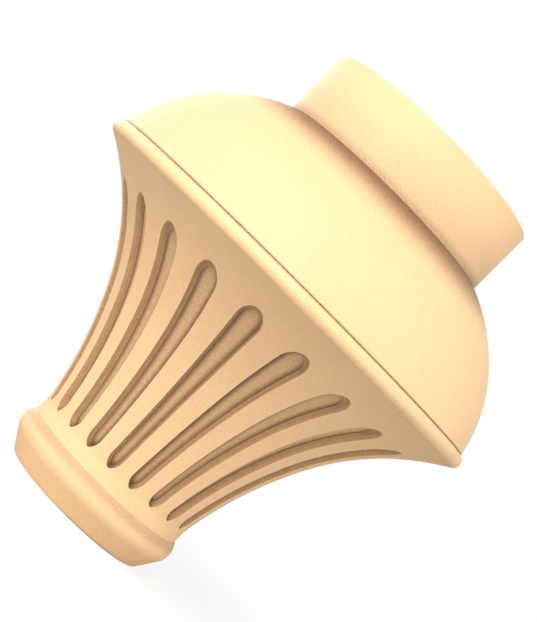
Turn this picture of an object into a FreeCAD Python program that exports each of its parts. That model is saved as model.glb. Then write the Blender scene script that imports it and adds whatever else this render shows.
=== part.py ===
import FreeCAD, Part
import math
import os

import Sketcher
from FreeCAD import Vector

# Curtain pole finial, turned from one piece of close-grained hardwood and carved with flutes.
#
# It stands on its flat tip. The origin is the centre of the tip face, and +Z runs along the
# turning axis from the tip to the collar, whose end has a blind socket that pushes over the end
# of the pole. All sizes are in millimetres, and every height is above the tip.

SIZES = {
    # Tip: a flat face, a straight flank and the full round bead above it.
    "tip_dia": (25.0, "flat end face, before its edge is eased"),
    "tip_edge_round": (0.6, "easing of the edge round the tip face"),
    "bead_stand": (0.85, "how far the bead stands out from the neck"),
    "bead_radius": (2.9, "round of the bead"),
    "bead_height": (4.7, "height of the bead's widest part"),
    # Neck and hollow flare: three arcs that open smoothly from the neck to the lip.
    # A lean is the slope of the surface, in degrees off upright.
    "neck_dia": (28.3, "plain neck above the bead"),
    "neck_top": (8.5, "height at which the neck starts to open"),
    "throat_radius": (8.0, "first hollow arc, out of the neck"),
    "throat_lean": (9.8, "lean where the first arc ends"),
    "waist_lean": (27.1, "lean where the second arc gives way to the tighter third"),
    "lip_lean": (59.8, "lean where the third arc meets the lip"),
    # Lip: the thin round edge at the widest part, with a fine crease above it.
    "lip_dia": (71.3, "widest part of the finial"),
    "lip_radius": (1.2, "round of the lip"),
    "lip_height": (44.3, "height of the widest part"),
    "crease_turn": (73.4, "degrees that the lip's round carries on above its widest part"),
    # Dome: two arcs from the crease to the foot of the collar.
    "dome_foot_lean": (10.5, "lean of the dome where it rises from the crease"),
    "dome_top_lean": (67.5, "lean of the dome where it meets the collar"),
    "dome_rise": (19.8, "from the widest part up to the foot of the collar"),
    # Collar, and the socket in it that pushes over the end of the pole.
    "collar_dia": (38.0, "outside of the collar"),
    "collar_length": (10.7, "from the dome to the end face"),
    "collar_edge_round": (0.5, "easing of the edge round the end face"),
    "pole_dia": (28.0, "pole that the socket takes"),
    "socket_clearance": (0.5, "socket diameter over pole diameter"),
    "socket_depth": (20.0, "from the end face to the flat bottom"),
    "socket_lead_in": (0.8, "chamfer round the mouth"),
    # Flutes: cut to an even depth in the flare, wider towards the lip, oval at both ends.
    "flute_count": (21, "flutes round the flare"),
    "flute_depth": (1.0, "below the surface of the flare, square to it"),
    "flute_foot": (0.35, "bevel between the walls of a flute and its floor"),
    "flute_low_gap": (0.7, "from the top of the neck up to the lower end"),
    "flute_high_gap": (4.7, "from the upper end up to the widest part of the lip"),
    "flute_low_round": (1.9, "height of the oval lower end"),
    "flute_high_round": (2.35, "height of the oval upper end"),
    "flute_low_width": (2.16, "between the sides, where the lower end starts to round"),
    "flute_high_width": (3.96, "between the sides, where the upper end starts to round"),
    "flute_side_radius": (520.0, "slow curve of each side, seen from the front"),
    "flute_nose_turn": (90.0, "degrees of the tighter round at the very end of each oval"),
}

# Places that several sketches share, as formulas of the sheet.

LIP_ACROSS = "sizes.lip_dia / 2 - sizes.lip_radius"
BEAD_ACROSS = "sizes.neck_dia / 2 + sizes.bead_stand - sizes.bead_radius"
COLLAR_FOOT = "sizes.lip_height + sizes.dome_rise"
COLLAR_END = "sizes.lip_height + sizes.dome_rise + sizes.collar_length"
BORE_RADIUS = "(sizes.pole_dia + sizes.socket_clearance) / 2"
FLUTE_LOW_END = "sizes.neck_top + sizes.flute_low_gap"
FLUTE_HIGH_END = "sizes.lip_height - sizes.flute_high_gap"

START, END, CENTRE = 1, 2, 3
ORIGIN = (-1, START)
AXIS = -2

doc = FreeCAD.newDocument("curtain_pole_finial")

sheet = doc.addObject("Spreadsheet::Sheet", "sizes")
for row, (alias, (value, meaning)) in enumerate(SIZES.items(), start=1):
    sheet.set("A%d" % row, alias)
    sheet.set("B%d" % row, str(value))
    sheet.set("C%d" % row, meaning)
    sheet.setAlias("B%d" % row, alias)
doc.recompute()


def size(alias):
    """The value of a driving size, in millimetres."""
    return float(sheet.get(alias))


class Drawing:
    """A sketch on the upright XZ plane of a body: across from the axis, then height.

    Edges are drawn close to their places. The rules and the driven sizes then hold them there.
    A guide is an edge that the others are held by, and is no part of the outline.
    """

    def __init__(self, body, name):
        self.sketch = body.newObject("Sketcher::SketchObject", name)
        plane = [o for o in body.Origin.OriginFeatures if o.Role == "XZ_Plane"][0]
        self.sketch.AttachmentSupport = (plane, "")
        self.sketch.MapMode = "FlatFace"

    def line(self, start, end, guide=False):
        """Draw a straight edge and return its number."""
        return self.sketch.addGeometry(Part.LineSegment(start, end), guide)

    def arc(self, centre, radius, start, end, guide=False):
        """Draw an arc anticlockwise from start to end, in degrees, and return its number."""
        circle = Part.Circle(centre, Vector(0, 0, 1), radius)
        arc = Part.ArcOfCircle(circle, math.radians(start), math.radians(end))
        return self.sketch.addGeometry(arc, guide)

    def spoke(self, edge, point):
        """Draw a guide from the centre of an arc to one of its ends, and return its number."""
        guide = self.line(self.at(edge, CENTRE), self.at(edge, point), guide=True)
        self.corner(guide, START, edge, CENTRE)
        self.corner(guide, END, edge, point)
        return guide

    def at(self, edge, point):
        """Where the start, end or centre of an edge is drawn."""
        return self.sketch.getPoint(edge, point)

    def rule(self, kind, *where):
        """Add a rule that has no size, such as Horizontal."""
        self.sketch.addConstraint(Sketcher.Constraint(kind, *where))

    def corner(self, first, first_point, second, second_point):
        """Bring two ends together at a corner."""
        self.rule("Coincident", first, first_point, second, second_point)

    def blend(self, first, first_point, second, second_point):
        """Bring two ends together with no corner."""
        self.rule("Tangent", first, first_point, second, second_point)

    def drive(self, formula, kind, *where):
        """Add a size that follows a formula of the sheet. The last of where is its drawn value."""
        number = self.sketch.addConstraint(Sketcher.Constraint(kind, *where))
        self.sketch.setExpression("Constraints[%d]" % number, formula)

    def radius(self, edge, formula):
        """Set the radius of an arc."""
        self.drive(formula, "Radius", edge, self.sketch.Geometry[edge].Radius)

    def turn(self, edge, formula):
        """Set how far an arc turns."""
        arc = self.sketch.Geometry[edge]
        self.drive(formula, "Angle", edge, arc.LastParameter - arc.FirstParameter)

    def slope(self, edge, formula):
        """Set how far a line points above level."""
        way = self.at(edge, END) - self.at(edge, START)
        self.drive(formula, "Angle", edge, math.atan2(way.y, way.x))

    def across(self, edge, point, formula):
        """Set how far right of the axis a point is."""
        self.drive(formula, "DistanceX", *ORIGIN, edge, point, self.at(edge, point).x)

    def across_left(self, edge, point, formula):
        """Set how far left of the axis a point is."""
        self.drive(formula, "DistanceX", edge, point, *ORIGIN, -self.at(edge, point).x)

    def height(self, edge, point, formula):
        """Set how high a point is."""
        self.drive(formula, "DistanceY", *ORIGIN, edge, point, self.at(edge, point).y)

    def spin(self, body, kind, name):
        """Turn the drawing about the axis as a Revolution or a Groove."""
        feature = body.newObject("PartDesign::" + kind, name)
        feature.Profile = self.sketch
        feature.ReferenceAxis = (self.sketch, ["V_Axis"])
        feature.Angle = 360
        doc.recompute()
        return feature


def toward(bearing):
    """The way that a bearing points, one millimetre long. Bearings are degrees above level."""
    turn = math.radians(bearing)
    return Vector(math.cos(turn), math.sin(turn), 0)


def bearing(centre, point):
    """The bearing from centre to point."""
    return math.degrees(math.atan2(point.y - centre.y, point.x - centre.x))


def two_arcs(start, start_bearing, middle_bearing, end_bearing, end):
    """Find the two arcs that run from start to end and meet with no corner.

    The bearings are those of start, of the meeting point and of end, each from its arc's centre.
    Returns the centre and radius of the first arc, and of the second.
    """
    first = toward(middle_bearing) - toward(start_bearing)
    second = toward(end_bearing) - toward(middle_bearing)
    way = end - start
    spread = first.cross(second).z
    first_radius = way.cross(second).z / spread
    second_radius = first.cross(way).z / spread
    first_centre = start - toward(start_bearing) * first_radius
    second_centre = end - toward(end_bearing) * second_radius
    return first_centre, first_radius, second_centre, second_radius


def mirrored(point):
    """The same point on the other side of the axis."""
    return Vector(-point.x, point.y, 0)


# Flare and lip. The finial's outline uses them as they are, and the floor of the flutes, which
# lies evenly under the flare, uses them as guides.


def draw_flare(drawing, neck_foot, guide=False):
    """Draw the neck, the three arcs of the flare and the lip, from neck_foot to the crease.

    Returns the neck, the throat, the lower arc, the upper arc and the lip.
    """
    neck_across = size("neck_dia") / 2
    throat_radius = size("throat_radius")
    throat_at = Vector(neck_across + throat_radius, size("neck_top"), 0)
    lip_at = Vector(size("lip_dia") / 2 - size("lip_radius"), size("lip_height"), 0)
    throat_end = 180 - size("throat_lean")
    waist = 180 - size("waist_lean")
    flare_end = 180 - size("lip_lean")
    lower_at, lower_radius, upper_at, upper_radius = two_arcs(
        throat_at + toward(throat_end) * throat_radius,
        throat_end,
        waist,
        flare_end,
        lip_at - toward(flare_end) * size("lip_radius"),
    )

    neck = drawing.line(
        Vector(neck_across, neck_foot, 0), Vector(neck_across, throat_at.y, 0), guide
    )
    throat = drawing.arc(throat_at, throat_radius, throat_end, 180, guide)
    lower = drawing.arc(lower_at, lower_radius, waist, throat_end, guide)
    upper = drawing.arc(upper_at, upper_radius, flare_end, waist, guide)
    lip = drawing.arc(
        lip_at, size("lip_radius"), flare_end - 180, size("crease_turn"), guide
    )
    drawing.rule("Vertical", neck)
    drawing.blend(neck, END, throat, END)
    drawing.blend(throat, START, lower, END)
    drawing.blend(lower, START, upper, END)
    drawing.blend(upper, START, lip, START)
    drawing.across(neck, END, "sizes.neck_dia / 2")
    drawing.height(neck, END, "sizes.neck_top")
    drawing.radius(throat, "sizes.throat_radius")
    drawing.turn(throat, "sizes.throat_lean")
    drawing.turn(lower, "sizes.waist_lean - sizes.throat_lean")
    drawing.turn(upper, "sizes.lip_lean - sizes.waist_lean")
    drawing.radius(lip, "sizes.lip_radius")
    drawing.across(lip, CENTRE, LIP_ACROSS)
    drawing.height(lip, CENTRE, "sizes.lip_height")
    drawing.slope(drawing.spoke(lip, END), "sizes.crease_turn")
    return neck, throat, lower, upper, lip


# Turned blank: half of its section, from the tip up to the collar and back down the axis.


def draw_tip(outline):
    """Draw the tip face, the flank and the bead, and return the face and the bead."""
    radius = size("bead_radius")
    neck_across = size("neck_dia") / 2
    corner = Vector(size("tip_dia") / 2, 0, 0)
    bead_at = Vector(neck_across + size("bead_stand") - radius, size("bead_height"), 0)
    lean = math.degrees(math.acos(radius / (corner - bead_at).Length))
    stop = math.degrees(math.acos((neck_across - bead_at.x) / radius))
    face = outline.line(Vector(0, 0, 0), corner)
    bead = outline.arc(bead_at, radius, bearing(bead_at, corner) + lean, stop)
    flank = outline.line(corner, outline.at(bead, START))
    outline.corner(face, START, *ORIGIN)
    outline.rule("Horizontal", face)
    outline.corner(face, END, flank, START)
    outline.blend(flank, END, bead, START)
    outline.across(face, END, "sizes.tip_dia / 2")
    outline.radius(bead, "sizes.bead_radius")
    outline.across(bead, CENTRE, BEAD_ACROSS)
    outline.height(bead, CENTRE, "sizes.bead_height")
    return face, bead


def draw_dome(outline, lip, collar_foot):
    """Draw the two arcs of the dome from the crease to the collar, and return the upper one.

    Where they meet, the dome runs level with the straight line from the crease to the collar.
    """
    crease = outline.at(lip, END)
    foot = size("dome_foot_lean")
    middle = bearing(crease, collar_foot) - 90
    top = size("dome_top_lean")
    lower_at, lower_radius, upper_at, upper_radius = two_arcs(
        crease, foot, middle, top, collar_foot
    )
    lower = outline.arc(lower_at, lower_radius, foot, middle)
    upper = outline.arc(upper_at, upper_radius, middle, top)
    chord = outline.line(crease, collar_foot, guide=True)
    outline.corner(lip, END, lower, START)
    outline.blend(lower, END, upper, START)
    outline.corner(chord, START, lower, START)
    outline.corner(chord, END, upper, END)
    outline.slope(outline.spoke(lower, START), "sizes.dome_foot_lean")
    outline.slope(outline.spoke(upper, END), "sizes.dome_top_lean")
    outline.rule("Perpendicular", outline.spoke(upper, START), chord)
    return upper


def draw_collar(outline, dome, face, foot):
    """Draw the collar's side and end, and close the outline down the axis."""
    top = Vector(foot.x, foot.y + size("collar_length"), 0)
    middle = Vector(0, top.y, 0)
    side = outline.line(foot, top)
    end = outline.line(top, middle)
    axis = outline.line(middle, Vector(0, 0, 0))
    outline.corner(dome, END, side, START)
    outline.corner(side, END, end, START)
    outline.corner(end, END, axis, START)
    outline.corner(axis, END, face, START)
    outline.rule("Vertical", side)
    outline.rule("Horizontal", end)
    outline.rule("Vertical", axis)
    outline.across(side, START, "sizes.collar_dia / 2")
    outline.height(side, START, COLLAR_FOOT)
    outline.height(side, END, COLLAR_END)


def turn_blank(body):
    """Turn the finial's outside, with no edges eased yet."""
    outline = Drawing(body, "outline")
    collar_foot = Vector(size("collar_dia") / 2, size("lip_height") + size("dome_rise"), 0)
    face, bead = draw_tip(outline)
    flare = draw_flare(outline, outline.at(bead, END).y)
    neck, lip = flare[0], flare[-1]
    outline.corner(bead, END, neck, START)
    dome = draw_dome(outline, lip, collar_foot)
    draw_collar(outline, dome, face, collar_foot)
    return outline.spin(body, "Revolution", "turned_blank")


def ease_rim(body, base, name, radius, height, formula):
    """Round off the circular edge of a given radius at a given height."""
    rims = [
        "Edge%d" % number
        for number, edge in enumerate(base.Shape.Edges, start=1)
        if isinstance(edge.Curve, Part.Circle)
        and math.isclose(edge.Curve.Radius, radius, abs_tol=1e-3)
        and math.isclose(edge.Curve.Center.z, height, abs_tol=1e-3)
    ]
    easing = body.newObject("PartDesign::Fillet", name)
    easing.Base = (base, rims)
    easing.setExpression("Radius", formula)
    doc.recompute()
    return easing


# Socket: a flat-bottomed bore in the collar's end, with a chamfer round its mouth.


def bore_socket(body):
    """Bore the socket and return the feature."""
    outline = Drawing(body, "socket_outline")
    mouth_height = size("lip_height") + size("dome_rise") + size("collar_length")
    bore = (size("pole_dia") + size("socket_clearance")) / 2
    bottom_middle = Vector(0, mouth_height - size("socket_depth"), 0)
    bottom_edge = Vector(bore, bottom_middle.y, 0)
    lead_foot = Vector(bore, mouth_height - size("socket_lead_in"), 0)
    mouth_edge = Vector(bore + size("socket_lead_in"), mouth_height, 0)
    mouth_middle = Vector(0, mouth_height, 0)
    corners = [bottom_middle, bottom_edge, lead_foot, mouth_edge, mouth_middle]
    edges = [outline.line(a, b) for a, b in zip(corners, corners[1:] + corners[:1])]
    for here, after in zip(edges, edges[1:] + edges[:1]):
        outline.corner(here, END, after, START)
    bottom, wall, lead_in, mouth, middle = edges
    outline.rule("Horizontal", bottom)
    outline.rule("Horizontal", mouth)
    outline.rule("Vertical", wall)
    outline.rule("Vertical", middle)
    outline.rule("PointOnObject", bottom, START, AXIS)
    outline.across(wall, START, BORE_RADIUS)
    outline.height(wall, START, COLLAR_END + " - sizes.socket_depth")
    outline.height(wall, END, COLLAR_END + " - sizes.socket_lead_in")
    outline.across(lead_in, END, BORE_RADIUS + " + sizes.socket_lead_in")
    outline.height(lead_in, END, COLLAR_END)
    return outline.spin(body, "Groove", "socket")


# Flutes. One cutter has the front view of a flute, goes in as deep as the flute's floor, and is
# repeated round the axis. The front view is even about the axis: an oval end of a nose and two
# shoulders below and above, and two long sides that curve slowly.


def draw_flute_end(front, end, apex, formula, way):
    """Draw one oval end of a flute, low (way -1) or high (way 1), with its apex at a height.

    Returns its right and left shoulders.
    """
    half_width = size("flute_%s_width" % end) / 2
    rise = size("flute_%s_round" % end)
    half_nose = size("flute_nose_turn") / 2
    shoulder_at, shoulder_radius, nose_at, nose_radius = two_arcs(
        Vector(half_width, 0, 0), 0, 90 - half_nose, 90, Vector(0, rise, 0)
    )
    lift = Vector(0, apex - way * rise, 0)
    nose_at = lift + nose_at * way
    right_at = lift + Vector(shoulder_at.x, 0, 0)
    first, last = sorted([way * 90 - half_nose, way * 90 + half_nose])
    nose = front.arc(nose_at, nose_radius, first, last)
    if way > 0:
        right = front.arc(right_at, shoulder_radius, 0, first)
        left = front.arc(mirrored(right_at), shoulder_radius, last, 180)
        front.blend(right, END, nose, START)
        front.blend(nose, END, left, START)
    else:
        right = front.arc(right_at, shoulder_radius, last, 0)
        left = front.arc(mirrored(right_at), shoulder_radius, -180, first)
        front.blend(left, END, nose, START)
        front.blend(nose, END, right, START)
    tip = front.sketch.addGeometry(Part.Point(Vector(0, apex, 0)), True)
    front.rule("PointOnObject", nose, CENTRE, AXIS)
    front.rule("PointOnObject", tip, START, AXIS)
    front.rule("PointOnObject", tip, START, nose)
    front.height(tip, START, formula)
    front.turn(nose, "sizes.flute_nose_turn")
    return right, left


def draw_flute_front(front):
    """Draw the closed front view of a flute."""
    low_end = size("neck_top") + size("flute_low_gap")
    high_end = size("lip_height") - size("flute_high_gap")
    low_right, low_left = draw_flute_end(front, "low", low_end, FLUTE_LOW_END, -1)
    high_right, high_left = draw_flute_end(front, "high", high_end, FLUTE_HIGH_END, 1)
    foot = front.at(low_right, END)
    head = front.at(high_right, START)
    half_chord = (head - foot).Length / 2
    bend = size("flute_side_radius")
    lean = bearing(foot, head)
    sag = math.degrees(math.asin(half_chord / bend))
    right_at = foot - toward(lean + 90 + sag) * bend
    right = front.arc(right_at, bend, lean + 90 - sag, lean + 90 + sag)
    left = front.arc(mirrored(right_at), bend, 90 - lean - sag, 90 - lean + sag)
    front.blend(low_right, END, right, END)
    front.blend(right, START, high_right, START)
    front.blend(high_left, END, left, END)
    front.blend(left, START, low_left, START)
    front.radius(right, "sizes.flute_side_radius")
    front.radius(left, "sizes.flute_side_radius")
    low_side = FLUTE_LOW_END + " + sizes.flute_low_round"
    high_side = FLUTE_HIGH_END + " - sizes.flute_high_round"
    front.height(right, END, low_side)
    front.height(right, START, high_side)
    front.height(left, START, low_side)
    front.height(left, END, high_side)
    front.across(right, END, "sizes.flute_low_width / 2")
    front.across(right, START, "sizes.flute_high_width / 2")
    front.across_left(left, START, "sizes.flute_low_width / 2")
    front.across_left(left, END, "sizes.flute_high_width / 2")


def draw_under_floor(under):
    """Draw all that lies inside the floor of the flutes, from the bead up to the lip."""
    depth = size("flute_depth")
    guides = draw_flare(under, size("bead_height"), guide=True)
    floors = []
    for guide in guides[1:4]:
        arc = under.sketch.Geometry[guide]
        first, last = math.degrees(arc.FirstParameter), math.degrees(arc.LastParameter)
        floor = under.arc(arc.Center, arc.Radius + depth, first, last)
        under.corner(floor, CENTRE, guide, CENTRE)
        floors.append(floor)
    throat, lower, upper = floors
    neck_top = under.at(throat, END)
    foot = Vector(neck_top.x, size("bead_height"), 0)
    head = under.at(upper, START)
    neck = under.line(foot, neck_top)
    top = under.line(head, Vector(0, head.y, 0))
    middle = under.line(Vector(0, head.y, 0), Vector(0, foot.y, 0))
    bottom = under.line(Vector(0, foot.y, 0), foot)
    under.blend(neck, END, throat, END)
    under.blend(throat, START, lower, END)
    under.blend(lower, START, upper, END)
    under.corner(upper, START, top, START)
    under.corner(top, END, middle, START)
    under.corner(middle, END, bottom, START)
    under.corner(bottom, END, neck, START)
    under.rule("Vertical", neck)
    under.rule("Horizontal", top)
    under.rule("Vertical", middle)
    under.rule("Horizontal", bottom)
    under.rule("PointOnObject", bottom, START, AXIS)
    under.across(neck, END, "sizes.neck_dia / 2 - sizes.flute_depth")
    under.height(neck, START, "sizes.bead_height")
    under.height(guides[0], START, "sizes.bead_height")
    under.turn(upper, "sizes.lip_lean - sizes.waist_lean")


def is_floor(face):
    """Whether a face of the flute cutter cuts the floor, and not a wall or the cutter's back."""
    if isinstance(face.Surface, Part.Plane):
        return False
    if isinstance(face.Surface, Part.Cylinder):
        return abs(face.Surface.Axis.z) > 0.5
    return True


def build_flute_cutter():
    """Build the ring of flute cutters as a body of its own."""
    cutter = doc.addObject("PartDesign::Body", "flute_cutter")
    cutter.AllowCompound = True
    front = Drawing(cutter, "flute_front")
    draw_flute_front(front)
    bar = cutter.newObject("PartDesign::Pad", "flute_bar")
    bar.Profile = front.sketch
    bar.setExpression("Length", "sizes.lip_dia / 2")
    doc.recompute()

    under = Drawing(cutter, "under_flute_floor")
    draw_under_floor(under)
    floor = under.spin(cutter, "Groove", "flute_floor")

    foot = cutter.newObject("PartDesign::Chamfer", "flute_foot_bevel")
    faces = enumerate(floor.Shape.Faces, start=1)
    foot.Base = (floor, ["Face%d" % number for number, face in faces if is_floor(face)])
    foot.setExpression("Size", "sizes.flute_foot")
    doc.recompute()

    ring = cutter.newObject("PartDesign::PolarPattern", "flute_ring")
    turning_axis = [o for o in cutter.Origin.OriginFeatures if o.Role == "Z_Axis"][0]
    ring.TransformMode = "Whole shape"
    ring.Axis = (turning_axis, [""])
    ring.Angle = 360
    ring.setExpression("Occurrences", "sizes.flute_count")
    cutter.Tip = ring
    doc.recompute()
    return cutter


def carve_flutes(body, cutter):
    """Cut all the flutes into the body."""
    flutes = body.newObject("PartDesign::Boolean", "flutes")
    flutes.Type = "Cut"
    flutes.addObject(cutter)
    doc.recompute()
    return flutes


# The finial, step by step.

finial = doc.addObject("PartDesign::Body", "finial")
finial.Label = "finial"
finial.Placement = FreeCAD.Placement(Vector(0, 0, 0), FreeCAD.Rotation())

blank = turn_blank(finial)
tip_radius = size("tip_dia") / 2
eased_tip = ease_rim(finial, blank, "tip_easing", tip_radius, 0, "sizes.tip_edge_round")
collar_end = size("lip_height") + size("dome_rise") + size("collar_length")
collar_radius = size("collar_dia") / 2
eased = ease_rim(
    finial, eased_tip, "collar_easing", collar_radius, collar_end, "sizes.collar_edge_round"
)
socket = bore_socket(finial)
flutes = carve_flutes(finial, build_flute_cutter())

for item in doc.Objects:
    if "Invalid" in item.State or "Error" in item.State:
        raise RuntimeError("%s failed: %s" % (item.Label, item.State))
if finial.Shape.isNull() or not finial.Shape.isValid() or len(finial.Shape.Solids) != 1:
    raise RuntimeError("the finial is not one sound solid")
steps = [blank, eased_tip, eased, socket, flutes]
for before, after in zip(steps, steps[1:]):
    if after.Shape.Volume >= before.Shape.Volume:
        raise RuntimeError("%s took nothing away" % after.Label)

os.makedirs("parts", exist_ok=True)
finial.Shape.exportStep(os.path.join("parts", finial.Label + ".step"))
print("finial: %.0f mm3, %.1f mm tall" % (finial.Shape.Volume, collar_end))
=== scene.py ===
"""A turned and fluted wooden finial for a curtain pole, in a plain pale studio."""

import logging
import math
from dataclasses import dataclass
from enum import Enum

import bpy
from mathutils import Matrix, Vector


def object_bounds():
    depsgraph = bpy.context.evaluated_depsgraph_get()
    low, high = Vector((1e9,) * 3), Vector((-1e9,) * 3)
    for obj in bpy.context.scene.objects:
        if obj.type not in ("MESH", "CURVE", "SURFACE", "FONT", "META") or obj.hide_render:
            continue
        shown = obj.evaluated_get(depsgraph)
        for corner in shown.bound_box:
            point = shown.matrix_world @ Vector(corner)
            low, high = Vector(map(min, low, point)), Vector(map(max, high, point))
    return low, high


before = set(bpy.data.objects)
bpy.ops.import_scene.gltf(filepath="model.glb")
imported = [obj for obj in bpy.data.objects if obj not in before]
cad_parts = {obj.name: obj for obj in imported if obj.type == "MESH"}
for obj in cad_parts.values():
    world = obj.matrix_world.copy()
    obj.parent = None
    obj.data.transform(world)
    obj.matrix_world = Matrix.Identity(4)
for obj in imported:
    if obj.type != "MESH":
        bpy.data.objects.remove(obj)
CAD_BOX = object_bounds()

log = logging.getLogger("finial")

MM = 0.001

# The picture's size in pixels, and the sensor's longer side, which set how wide the lens sees.
PICTURE_WIDTH = 537
PICTURE_HEIGHT = 622
SENSOR_MM = 36.0

# A Mix node's sockets for colours, which share their names with those for other kinds.
MIX_FIRST = 6
MIX_SECOND = 7
MIX_RESULT = 2

WHITE = (1.0, 1.0, 1.0, 1.0)

# Where the collar meets the dome: the corner's radius and height.
COLLAR_FOOT_RADIUS_MM = 19.0
COLLAR_FOOT_HEIGHT_MM = 64.1


class RaySort(Enum):
    """Sorts of ray that a white background is shown to."""

    CAMERA = "Is Camera Ray"
    GLOSSY = "Is Glossy Ray"
    TRANSMISSION = "Is Transmission Ray"


def linear_colour(hex_colour: str) -> tuple[float, float, float, float]:
    """Turn an sRGB colour into the linear values that a shader takes.

    Args:
        hex_colour: six hex digits, with or without a leading #.

    Returns:
        Linear red, green and blue, and an alpha of 1.
    """
    digits = hex_colour.lstrip("#")
    channels = [int(digits[i : i + 2], 16) / 255 for i in (0, 2, 4)]
    linear = [c / 12.92 if c <= 0.04045 else ((c + 0.055) / 1.055) ** 2.4 for c in channels]
    return (linear[0], linear[1], linear[2], 1.0)


def add_node(
    tree: bpy.types.NodeTree,
    kind: str,
    settings: dict[str, object] | None = None,
    inputs: dict[str, object] | None = None,
) -> bpy.types.Node:
    """Add a node, set it up and link it.

    Args:
        tree: the node tree that gets the node.
        kind: the node's type, such as "ShaderNodeMix".
        settings: properties of the node itself, by name.
        inputs: by input name or number, either a value or the output that feeds it.

    Returns:
        The new node.
    """
    node = tree.nodes.new(kind)
    for name, value in (settings or {}).items():
        setattr(node, name, value)
    for name, value in (inputs or {}).items():
        if isinstance(value, bpy.types.NodeSocket):
            tree.links.new(value, node.inputs[name])
        else:
            node.inputs[name].default_value = value
    return node


class CornerSide(Enum):
    """Which side of a corner gets painted shade: the surface below it that faces up, or both."""

    LOWER = "lower"
    BOTH = "both"


@dataclass(frozen=True)
class PaintedShadeCorner:
    """An inside corner that runs round the finial, darkened by painted shade.

    The painted shade has its full share within the core's distance of the corner, and is gone at
    the spread's.
    """

    name: str
    radius_mm: float
    height_mm: float
    spread_mm: float
    painted_shade: float
    core_mm: float = 0.0
    side: CornerSide = CornerSide.BOTH


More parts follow.
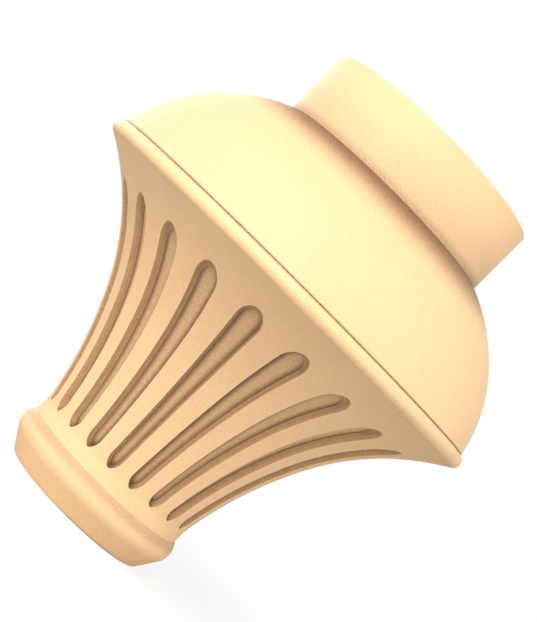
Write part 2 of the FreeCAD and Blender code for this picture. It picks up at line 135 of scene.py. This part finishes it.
@dataclass(frozen=True)
class LimewoodWithPaintedShade:
    """Limewood, turned, carved and sanded smooth, with brown painted shade where shade falls.

    The eye gets an even, warm cream with hardly any figure, broken up by the fine specks of the
    pores. Painted shade darkens it to a soft brown in the flutes, in tight creases and in the
    corners that run round the finial.
    """

    pale: str = "#FED6A2"
    warm: str = "#FACC98"
    # The brown of the painted shade in the flutes, creases and corners.
    painted_shade: str = "#5C3414"
    roughness: float = 0.6
    refractive_index: float = 1.5
    # How wide the faint streaks of the figure are, their scale along the grain, and how fine
    # and strong their detail is.
    figure_mm: float = 9.0
    figure_along: float = 0.18
    figure_detail: float = 5.0
    figure_detail_strength: float = 0.6
    # Limewood's pores are about 0.05 mm wide, too fine to show, so they are drawn 4 times as
    # wide, which shows as the fine sandy grain of the photograph.
    pore_mm: float = 0.21
    pore_detail: float = 1.0
    pore_depth_mm: float = 0.010
    # The specks' values in the middle of a pore, where a pore ends, and between the pores.
    in_pore: float = 0.3
    pore_edge: float = 0.6
    between_pores: float = 0.7
    # How dark the specks in the pores are on the open surface, and in a hollow, where the extra
    # dark is painted shade; and how much more of a corner's painted shade is in its pores, and
    # less between them.
    pore_wax: float = 0.10
    hollow_pore_shade: float = 0.32
    corner_grain: float = 0.16
    # How many rays measure how open a place is.
    openness_samples: int = 12
    # The painted shade in a tight crease: how near its sides are, and how strongly it darkens.
    crease_reach_mm: float = 1.2
    crease_power: float = 3.6
    # The walls of the flutes, which get less painted shade than the corner under them: how far a
    # surface leans round the axis where a wall begins, where it is steep, and the least share of
    # the wood's own colour there.
    wall_begin: float = 0.40
    wall_full: float = 0.95
    wall_bare: float = 0.92
    # The lowest and highest places with flutes, where painted shade is read from the hollows.
    flutes_from_mm: float = 9.0
    flutes_to_mm: float = 43.5
    # The even painted shade in a hollow: how near its sides are, how open it and the plain surface
    # are at that reach, and how much of the wood's own colour shows in it.
    hollow_reach_mm: float = 3.0
    hollow_openness: float = 0.86
    plain_openness: float = 0.98
    hollow_bare: float = 0.74
    # How far inside a corner's radius its lower side still counts.
    corner_slack_mm: float = 1.0
    # Painted shade in the corners that run round the finial, most where the dome meets the collar.
    corners: tuple[PaintedShadeCorner, ...] = (
        PaintedShadeCorner(
            name="dome_under_collar",
            radius_mm=COLLAR_FOOT_RADIUS_MM,
            height_mm=COLLAR_FOOT_HEIGHT_MM,
            core_mm=1.0,
            spread_mm=9.5,
            painted_shade=0.81,
            side=CornerSide.LOWER,
        ),
        PaintedShadeCorner(
            name="collar_on_dome",
            radius_mm=COLLAR_FOOT_RADIUS_MM,
            height_mm=COLLAR_FOOT_HEIGHT_MM,
            spread_mm=1.6,
            painted_shade=0.38,
        ),
        PaintedShadeCorner(
            name="round_collar",
            radius_mm=COLLAR_FOOT_RADIUS_MM,
            height_mm=COLLAR_FOOT_HEIGHT_MM,
            spread_mm=9.0,
            painted_shade=0.17,
        ),
        PaintedShadeCorner(
            name="bead_under_neck",
            radius_mm=14.15,
            height_mm=6.75,
            core_mm=0.8,
            spread_mm=2.5,
            painted_shade=0.40,
            side=CornerSide.LOWER,
        ),
        PaintedShadeCorner(
            name="dome_over_lip",
            radius_mm=34.79,
            height_mm=45.45,
            spread_mm=0.42,
            painted_shade=0.85,
        ),
    )

    def make(self) -> bpy.types.Material:
        """Build the material.

        Returns:
            The finished material.
        """
        material = bpy.data.materials.new("limewood_with_painted_shade")
        material.use_nodes = True
        tree = material.node_tree
        tree.nodes.clear()
        coordinates = add_node(tree, "ShaderNodeTexCoord")
        place = coordinates.outputs["Object"]
        wood = self.add_figure(tree, place)
        wall = self.add_wall(tree, place, coordinates.outputs["Normal"])
        # How open the surface is at a crease's and a hollow's reach, which sets the painted shade
        # there.
        crease = self.add_openness(tree, place, self.crease_reach_mm)
        hollow = self.add_openness(tree, place, self.hollow_reach_mm)
        specks = self.add_specks(tree, place)
        corners = [self.add_corner_shade(tree, place, specks, corner) for corner in self.corners]
        left_by_recess_shade = self.add_recess_shade(tree, crease, wall, hollow)
        pores = self.add_pores(tree, specks, hollow)
        bare = self.join_shares(tree, [left_by_recess_shade, pores, *corners])
        # The wood's colour, mixed towards the brown painted shade where the shares leave less of
        # it.
        mix = add_node(
            tree,
            "ShaderNodeMix",
            settings={"data_type": "RGBA"},
            inputs={
                "Factor": bare,
                MIX_FIRST: linear_colour(self.painted_shade),
                MIX_SECOND: wood,
            },
        )
        shader = add_node(
            tree,
            "ShaderNodeBsdfPrincipled",
            inputs={
                "Base Color": mix.outputs[MIX_RESULT],
                "Roughness": self.roughness,
                "IOR": self.refractive_index,
                "Normal": self.add_pitting(tree, specks),
            },
        )
        add_node(
            tree, "ShaderNodeOutputMaterial", inputs={"Surface": shader.outputs["BSDF"]}
        )
        return material

    def join_shares(
        self, tree: bpy.types.NodeTree, shares: list[bpy.types.NodeSocket]
    ) -> bpy.types.NodeSocket:
        """Find what is left where several things each leave a share.

        Args:
            tree: the material's node tree.
            shares: what each of them leaves.

        Returns:
            The share that all of them together leave.
        """
        left = shares[0]
        for share in shares[1:]:
            left = add_node(
                tree,
                "ShaderNodeMath",
                settings={"operation": "MULTIPLY"},
                inputs={0: left, 1: share},
            ).outputs["Value"]
        return left

    def add_figure(
        self, tree: bpy.types.NodeTree, place: bpy.types.NodeSocket
    ) -> bpy.types.NodeSocket:
        """Add the faint figure, drawn out along the turning axis, where the grain runs.

        Args:
            tree: the material's node tree.
            place: position in the finial's own frame, in metres.

        Returns:
            The colour output.
        """
        along = add_node(
            tree,
            "ShaderNodeMapping",
            inputs={"Vector": place, "Scale": (1.0, 1.0, self.figure_along)},
        )
        figure = add_node(
            tree,
            "ShaderNodeTexNoise",
            inputs={
                "Vector": along.outputs["Vector"],
                "Scale": 1 / (self.figure_mm * MM),
                "Detail": self.figure_detail,
                "Roughness": self.figure_detail_strength,
            },
        )
        mix = add_node(
            tree,
            "ShaderNodeMix",
            settings={"data_type": "RGBA"},
            inputs={
                "Factor": figure.outputs["Fac"],
                MIX_FIRST: linear_colour(self.pale),
                MIX_SECOND: linear_colour(self.warm),
            },
        )
        return mix.outputs[MIX_RESULT]

    def add_openness(
        self, tree: bpy.types.NodeTree, place: bpy.types.NodeSocket, reach_mm: float
    ) -> bpy.types.NodeSocket:
        """Find how open the surface is among the flutes. Everything else counts as open.

        Args:
            tree: the material's node tree.
            place: position in the finial's own frame, in metres.
            reach_mm: how far away a surface still closes a hollow.

        Returns:
            The openness, from 0 to 1.
        """
        openness = add_node(
            tree,
            "ShaderNodeAmbientOcclusion",
            settings={"samples": self.openness_samples, "only_local": True},
            inputs={"Distance": reach_mm * MM},
        ).outputs["AO"]
        height = add_node(tree, "ShaderNodeSeparateXYZ", inputs={"Vector": place}).outputs["Z"]
        middle = (self.flutes_from_mm + self.flutes_to_mm) / 2 * MM
        half = (self.flutes_to_mm - self.flutes_from_mm) / 2 * MM
        fluted = add_node(
            tree,
            "ShaderNodeMath",
            settings={"operation": "COMPARE"},
            inputs={0: height, 1: middle, 2: half},
        ).outputs["Value"]
        plain = add_node(
            tree,
            "ShaderNodeMath",
            settings={"operation": "SUBTRACT"},
            inputs={0: 1.0, 1: fluted},
        ).outputs["Value"]
        shown = add_node(
            tree,
            "ShaderNodeMath",
            settings={"operation": "MAXIMUM"},
            inputs={0: openness, 1: plain},
        )
        return shown.outputs["Value"]

    def add_recess_shade(
        self,
        tree: bpy.types.NodeTree,
        crease: bpy.types.NodeSocket,
        wall: bpy.types.NodeSocket,
        hollow: bpy.types.NodeSocket,
    ) -> bpy.types.NodeSocket:
        """Find the painted shade at each place: none in the open, more in a crease or hollow.

        Args:
            tree: the material's node tree.
            crease: how open the surface is at a crease's reach.
            wall: the least share of the wood's colour on a flute's wall, and 0 elsewhere.
            hollow: how open the surface is at a hollow's reach.

        Returns:
            The share of the wood's colour that the painted shade leaves, from 0 to 1.
        """
        # Painted shade in tight creases: the less open the surface, the darker.
        in_crease = add_node(
            tree,
            "ShaderNodeMath",
            settings={"operation": "POWER"},
            inputs={0: crease, 1: self.crease_power},
        )
        on_wall = add_node(
            tree,
            "ShaderNodeMath",
            settings={"operation": "MAXIMUM"},
            inputs={0: in_crease.outputs["Value"], 1: wall},
        )
        # Even painted shade in the hollows of the flutes.
        in_hollow = self.add_hollow_range(tree, hollow, self.hollow_bare, 1.0)
        return self.join_shares(tree, [on_wall.outputs["Value"], in_hollow])

    def add_wall(
        self,
        tree: bpy.types.NodeTree,
        place: bpy.types.NodeSocket,
        normal: bpy.types.NodeSocket,
    ) -> bpy.types.NodeSocket:
        """Tell the walls of the flutes, which face round the axis, from everything turned.

        Args:
            tree: the material's node tree.
            place: position in the finial's own frame, in metres.
            normal: the surface's normal in that frame.

        Returns:
            The least share of the wood's colour, under the painted shade, on a wall, and 0
            elsewhere.
        """
        across = add_node(
            tree,
            "ShaderNodeVectorMath",
            settings={"operation": "CROSS_PRODUCT"},
            inputs={0: place, 1: normal},
        )
        turn = add_node(
            tree, "ShaderNodeSeparateXYZ", inputs={"Vector": across.outputs["Vector"]}
        ).outputs["Z"]
        share = add_node(
            tree,
            "ShaderNodeMath",
            settings={"operation": "DIVIDE"},
            inputs={0: turn, 1: self.add_radius(tree, place)},
        ).outputs["Value"]
        lean = add_node(
            tree, "ShaderNodeMath", settings={"operation": "ABSOLUTE"}, inputs={0: share}
        ).outputs["Value"]
        wall = add_node(
            tree,
            "ShaderNodeMapRange",
            settings={"interpolation_type": "SMOOTHSTEP"},
            inputs={
                "Value": lean,
                "From Min": self.wall_begin,
                "From Max": self.wall_full,
                "To Max": self.wall_bare,
            },
        )
        return wall.outputs["Result"]

    def add_radius(
        self, tree: bpy.types.NodeTree, place: bpy.types.NodeSocket
    ) -> bpy.types.NodeSocket:
        """Measure how far the surface is from the turning axis.

        Args:
            tree: the material's node tree.
            place: position in the finial's own frame, in metres.

        Returns:
            The radius, in metres.
        """
        flat = add_node(
            tree,
            "ShaderNodeVectorMath",
            settings={"operation": "MULTIPLY"},
            inputs={0: place, 1: (1.0, 1.0, 0.0)},
        )
        radius = add_node(
            tree,
            "ShaderNodeVectorMath",
            settings={"operation": "LENGTH"},
            inputs={0: flat.outputs["Vector"]},
        )
        return radius.outputs["Value"]

    def add_hollow_range(
        self,
        tree: bpy.types.NodeTree,
        hollow: bpy.types.NodeSocket,
        in_hollow: float,
        in_open: float,
    ) -> bpy.types.NodeSocket:
        """Change a number from one value in the hollows to another on the open surface.

        Args:
            tree: the material's node tree.
            hollow: how open the surface is at a hollow's reach.
            in_hollow: the value in the hollows.
            in_open: the value on the open surface.

        Returns:
            The number's output.
        """
        change = add_node(
            tree,
            "ShaderNodeMapRange",
            inputs={
                "Value": hollow,
                "From Min": self.hollow_openness,
                "From Max": self.plain_openness,
                "To Min": in_hollow,
                "To Max": in_open,
            },
        )
        return change.outputs["Result"]

    def add_specks(
        self, tree: bpy.types.NodeTree, place: bpy.types.NodeSocket
    ) -> bpy.types.NodeSocket:
        """Scatter the pores.

        Args:
            tree: the material's node tree.
            place: position in the finial's own frame, in metres.

        Returns:
            A number that is low in a pore and high between pores.
        """
        specks = add_node(
            tree,
            "ShaderNodeTexNoise",
            inputs={
                "Vector": place,
                "Scale": 1 / (self.pore_mm * MM),
                "Detail": self.pore_detail,
            },
        )
        return specks.outputs["Fac"]

    def add_pores(
        self,
        tree: bpy.types.NodeTree,
        specks: bpy.types.NodeSocket,
        hollow: bpy.types.NodeSocket,
    ) -> bpy.types.NodeSocket:
        """Darken the pores in specks, more so in the hollows, where that is painted shade.

        Args:
            tree: the material's node tree.
            specks: low in a pore, and high between pores.
            hollow: how open the surface is at a hollow's reach.

        Returns:
            The share of the wood's colour that the specks leave, from 0 to 1.
        """
        # Darker specks in the hollows: painted shade.
        in_pores = self.add_hollow_range(
            tree, hollow, 1.0 - self.hollow_pore_shade, 1.0 - self.pore_wax
        )
        bare = add_node(
            tree,
            "ShaderNodeMapRange",
            inputs={
                "Value": specks,
                "From Min": self.in_pore,
                "From Max": self.pore_edge,
                "To Min": in_pores,
                "To Max": 1.0,
            },
        )
        return bare.outputs["Result"]

    def add_corner_shade(
        self,
        tree: bpy.types.NodeTree,
        place: bpy.types.NodeSocket,
        specks: bpy.types.NodeSocket,
        corner: PaintedShadeCorner,
    ) -> bpy.types.NodeSocket:
        """Paint shade into a corner that runs round the finial, darker in the pores.

        Args:
            tree: the material's node tree.
            place: position in the finial's own frame, in metres.
            specks: low in a pore, and high between pores.
            corner: where the corner is and how much painted shade it gets.

        Returns:
            The share of the wood's colour that the painted shade leaves, from 0 to 1.
        """
        radius = self.add_radius(tree, place)
        height = add_node(tree, "ShaderNodeSeparateXYZ", inputs={"Vector": place}).outputs["Z"]
        section = add_node(tree, "ShaderNodeCombineXYZ", inputs={"X": radius, "Z": height})
        ring = (corner.radius_mm * MM, 0.0, corner.height_mm * MM)
        distance = add_node(
            tree,
            "ShaderNodeVectorMath",
            settings={"operation": "DISTANCE"},
            inputs={0: section.outputs["Vector"], 1: ring},
        )
        # The corner's painted shade: full within its core, gone at its spread.
        painted_shade = add_node(
            tree,
            "ShaderNodeMapRange",
            settings={"label": corner.name, "interpolation_type": "SMOOTHSTEP"},
            inputs={
                "Value": distance.outputs["Value"],
                "From Min": corner.core_mm * MM,
                "From Max": corner.spread_mm * MM,
                "To Min": corner.painted_shade,
                "To Max": 0.0,
            },
        ).outputs["Result"]
        grain = add_node(
            tree,
            "ShaderNodeMapRange",
            inputs={
                "Value": specks,
                "From Min": self.in_pore,
                "From Max": self.between_pores,
                "To Min": 1.0 + self.corner_grain,
                "To Max": 1.0 - self.corner_grain,
            },
        )
        shares = [painted_shade, grain.outputs["Result"]]
        if corner.side is CornerSide.LOWER:
            inner_mm = corner.radius_mm - self.corner_slack_mm
            for operation, value, limit_mm in (
                ("LESS_THAN", height, corner.height_mm),
                ("GREATER_THAN", radius, inner_mm),
            ):
                inside = add_node(
                    tree,
                    "ShaderNodeMath",
                    settings={"operation": operation},
                    inputs={0: value, 1: limit_mm * MM},
                )
                shares.append(inside.outputs["Value"])
        painted_shade = self.join_shares(tree, shares)
        bare = add_node(
            tree, "ShaderNodeMath", settings={"operation": "SUBTRACT"}, inputs={0: 1.0, 1: painted_shade}
        )
        return bare.outputs["Value"]

    def add_pitting(
        self, tree: bpy.types.NodeTree, specks: bpy.types.NodeSocket
    ) -> bpy.types.NodeSocket:
        """Pit the surface very slightly at the pores.

        Args:
            tree: the material's node tree.
            specks: low in a pore, and high between pores.

        Returns:
            The normal output.
        """
        bump = add_node(
            tree,
            "ShaderNodeBump",
            inputs={
                "Height": specks,
                "Distance": self.pore_depth_mm * MM,
                "Strength": 1.0,
            },
        )
        return bump.outputs["Normal"]


@dataclass(frozen=True)
class WhiteCard:
    """Matt white studio card: plain white, and greyed only near the tip, by the finial's shade."""

    card: str = "#B4B4B4"
    # How much of the shade the camera sees, and the plain white that it sees with it.
    shade_share: float = 0.45
    plain_share: float = 0.80
    # How far from the tip the shade begins to fade, and how far away the card is plain white.
    near_mm: float = 30.0
    far_mm: float = 110.0

    def make(self) -> bpy.types.Material:
        """Build the material.

        Returns:
            The finished material.
        """
        material = bpy.data.materials.new("white_card")
        material.use_nodes = True
        tree = material.node_tree
        tree.nodes.clear()
        card = add_node(
            tree, "ShaderNodeBsdfDiffuse", inputs={"Color": linear_colour(self.card)}
        ).outputs["BSDF"]
        white, lift, nothing = (
            add_node(
                tree, "ShaderNodeEmission", inputs={"Color": WHITE, "Strength": strength}
            ).outputs["Emission"]
            for strength in (1.0, self.plain_share, 0.0)
        )
        shade = add_node(
            tree, "ShaderNodeMixShader", inputs={0: self.shade_share, 1: nothing, 2: card}
        ).outputs["Shader"]
        near = add_node(
            tree, "ShaderNodeAddShader", inputs={0: shade, 1: lift}
        ).outputs["Shader"]
        place = add_node(tree, "ShaderNodeTexCoord").outputs["Object"]
        distance = add_node(
            tree, "ShaderNodeVectorMath", settings={"operation": "LENGTH"}, inputs={0: place}
        )
        away = add_node(
            tree,
            "ShaderNodeMapRange",
            settings={"interpolation_type": "SMOOTHSTEP"},
            inputs={
                "Value": distance.outputs["Value"],
                "From Min": self.near_mm * MM,
                "From Max": self.far_mm * MM,
            },
        )
        shown = add_node(
            tree, "ShaderNodeMixShader", inputs={0: away.outputs["Result"], 1: near, 2: white}
        ).outputs["Shader"]
        to_camera = add_node(tree, "ShaderNodeLightPath").outputs[RaySort.CAMERA.value]
        mix = add_node(tree, "ShaderNodeMixShader", inputs={0: to_camera, 1: card, 2: shown})
        add_node(tree, "ShaderNodeOutputMaterial", inputs={"Surface": mix.outputs["Shader"]})
        return material


@dataclass
class Finial:
    """The finial: tip, bead, fluted flare, lip, dome and collar, all one piece of wood."""

    node_name: str = "finial"
    slot_name: str = "wood"
    finish: LimewoodWithPaintedShade = LimewoodWithPaintedShade()

    def dress(self) -> None:
        """Give the finial its wood."""
        wood = self.finish.make()
        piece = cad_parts[self.node_name]
        for slot in piece.material_slots:
            slot.material = wood
        log.info("%s: %d facets, %s", piece.name, len(piece.data.polygons), wood.name)


@dataclass(frozen=True)
class SoftLamp:
    """A soft lamp. Its direction from the finial goes right, up and out of the picture."""

    name: str
    right: float
    up: float
    out: float
    watts: float


@dataclass
class Studio:
    """A pale floor, a white surround and soft lamps."""

    floor_half_m: float = 6.0
    surround_strength: float = 0.33
    lamp_size_m: float = 0.6
    lamp_distance_m: float = 0.75
    lamps: tuple[SoftLamp, ...] = (
        SoftLamp("key_lamp", right=0.2, up=1.0, out=1.0, watts=4.8),
        SoftLamp("front_lamp", right=0.0, up=0.0, out=1.0, watts=3.1),
        SoftLamp("right_lamp", right=1.0, up=0.0, out=1.0, watts=0.8),
        SoftLamp("upper_edge_lamp", right=-1.0, up=1.0, out=0.0, watts=3.1),
        SoftLamp("lower_edge_lamp", right=1.0, up=-1.0, out=0.0, watts=2.9),
        SoftLamp("back_lamp", right=-0.3, up=0.3, out=-1.0, watts=5.5),
    )

    def build(self, eye: Vector, picture_right: Vector, picture_up: Vector) -> None:
        """Lay the floor, light the surround and hang the lamps.

        Args:
            eye: direction from the finial to the camera.
            picture_right: direction that the picture's right side faces.
            picture_up: direction that the picture's top faces.
        """
        self.lay_floor()
        self.light_surround()
        for lamp in self.lamps:
            way = picture_right * lamp.right + picture_up * lamp.up + eye * lamp.out
            self.hang_lamp(lamp.name, way.normalized(), lamp.watts)

    def lay_floor(self) -> None:
        """Lay the floor under the tip."""
        bpy.ops.object.select_all(action="DESELECT")
        bpy.ops.mesh.primitive_plane_add(size=2 * self.floor_half_m, location=(0, 0, 0))
        floor = bpy.context.active_object
        floor.name = "floor"
        floor.data.materials.append(WhiteCard().make())

    def light_surround(self) -> None:
        """Light the finial evenly from all round, and show the camera plain white."""
        world = bpy.data.worlds.new("white_surround")
        bpy.context.scene.world = world
        world.use_nodes = True
        tree = world.node_tree
        tree.nodes.clear()
        paths = add_node(tree, "ShaderNodeLightPath")
        seen = paths.outputs[RaySort.CAMERA.value]
        for sort in (RaySort.GLOSSY, RaySort.TRANSMISSION):
            seen = add_node(
                tree,
                "ShaderNodeMath",
                settings={"operation": "MAXIMUM"},
                inputs={0: seen, 1: paths.outputs[sort.value]},
            ).outputs["Value"]
        lit = add_node(
            tree,
            "ShaderNodeBackground",
            inputs={"Color": WHITE, "Strength": self.surround_strength},
        )
        white = add_node(
            tree, "ShaderNodeBackground", inputs={"Color": WHITE, "Strength": 1.0}
        )
        mix = add_node(
            tree,
            "ShaderNodeMixShader",
            inputs={0: seen, 1: lit.outputs["Background"], 2: white.outputs["Background"]},
        )
        add_node(tree, "ShaderNodeOutputWorld", inputs={"Surface": mix.outputs["Shader"]})

    def hang_lamp(self, name: str, direction: Vector, watts: float) -> None:
        """Hang a square soft lamp that points at the finial's middle.

        Args:
            name: the lamp's name.
            direction: from the finial's middle to the lamp.
            watts: the lamp's power.
        """
        middle = (CAD_BOX[0] + CAD_BOX[1]) / 2
        data = bpy.data.lights.new(name, "AREA")
        data.shape = "SQUARE"
        data.size = self.lamp_size_m
        data.energy = watts
        lamp = bpy.data.objects.new(name, data)
        bpy.context.scene.collection.objects.link(lamp)
        lamp.location = middle + direction * self.lamp_distance_m
        lamp.rotation_euler = (-direction).to_track_quat("-Z", "Y").to_euler()


@dataclass
class Camera:
    """The camera: level with the middle of the finial, square to its axis, and rolled over.

    The roll puts the collar at the picture's upper right and the tip at its lower left.
    """

    distance_mm: float = 248.6
    height_mm: float = 37.7
    azimuth_deg: float = 2.27
    roll_deg: float = 45.0
    # The lens in the picture's pixels, and the pixel that shows the point that it faces.
    focal_px: float = 1680.0
    faced_x_px: float = 255.0
    faced_y_px: float = 325.78
    # Nothing nearer than this is seen.
    nearest_mm: float = 10.0

    def __post_init__(self) -> None:
        """Work out which way the camera looks and how it is rolled."""
        turn = math.radians(self.azimuth_deg)
        roll = math.radians(self.roll_deg)
        level = Vector((math.cos(turn), math.sin(turn), 0))
        upright = Vector((0, 0, 1))
        self.eye = Vector((math.sin(turn), -math.cos(turn), 0))
        self.right = level * math.cos(roll) + upright * math.sin(roll)
        self.up = upright * math.cos(roll) - level * math.sin(roll)

    def place(self) -> None:
        """Add the camera and make it the scene's own."""
        data = bpy.data.cameras.new("camera")
        data.sensor_width = SENSOR_MM
        data.lens = self.focal_px * SENSOR_MM / PICTURE_HEIGHT
        data.shift_x = (PICTURE_WIDTH / 2 - self.faced_x_px) / PICTURE_HEIGHT
        data.shift_y = (self.faced_y_px - PICTURE_HEIGHT / 2) / PICTURE_HEIGHT
        data.clip_start = self.nearest_mm * MM
        camera = bpy.data.objects.new("camera", data)
        bpy.context.scene.collection.objects.link(camera)
        turned = Matrix((self.right, self.up, self.eye)).transposed().to_4x4()
        where = Vector((0, 0, self.height_mm * MM)) + self.eye * self.distance_mm * MM
        camera.matrix_world = Matrix.Translation(where) @ turned
        bpy.context.scene.camera = camera


def main() -> None:
    """Build the scene in order."""
    logging.basicConfig(level=logging.INFO, format="%(name)s: %(message)s")
    camera = Camera()
    camera.place()
    Finial().dress()
    Studio().build(camera.eye, camera.right, camera.up)
    bpy.context.scene.view_settings.view_transform = "Standard"


if __name__ == "__main__":
    main()
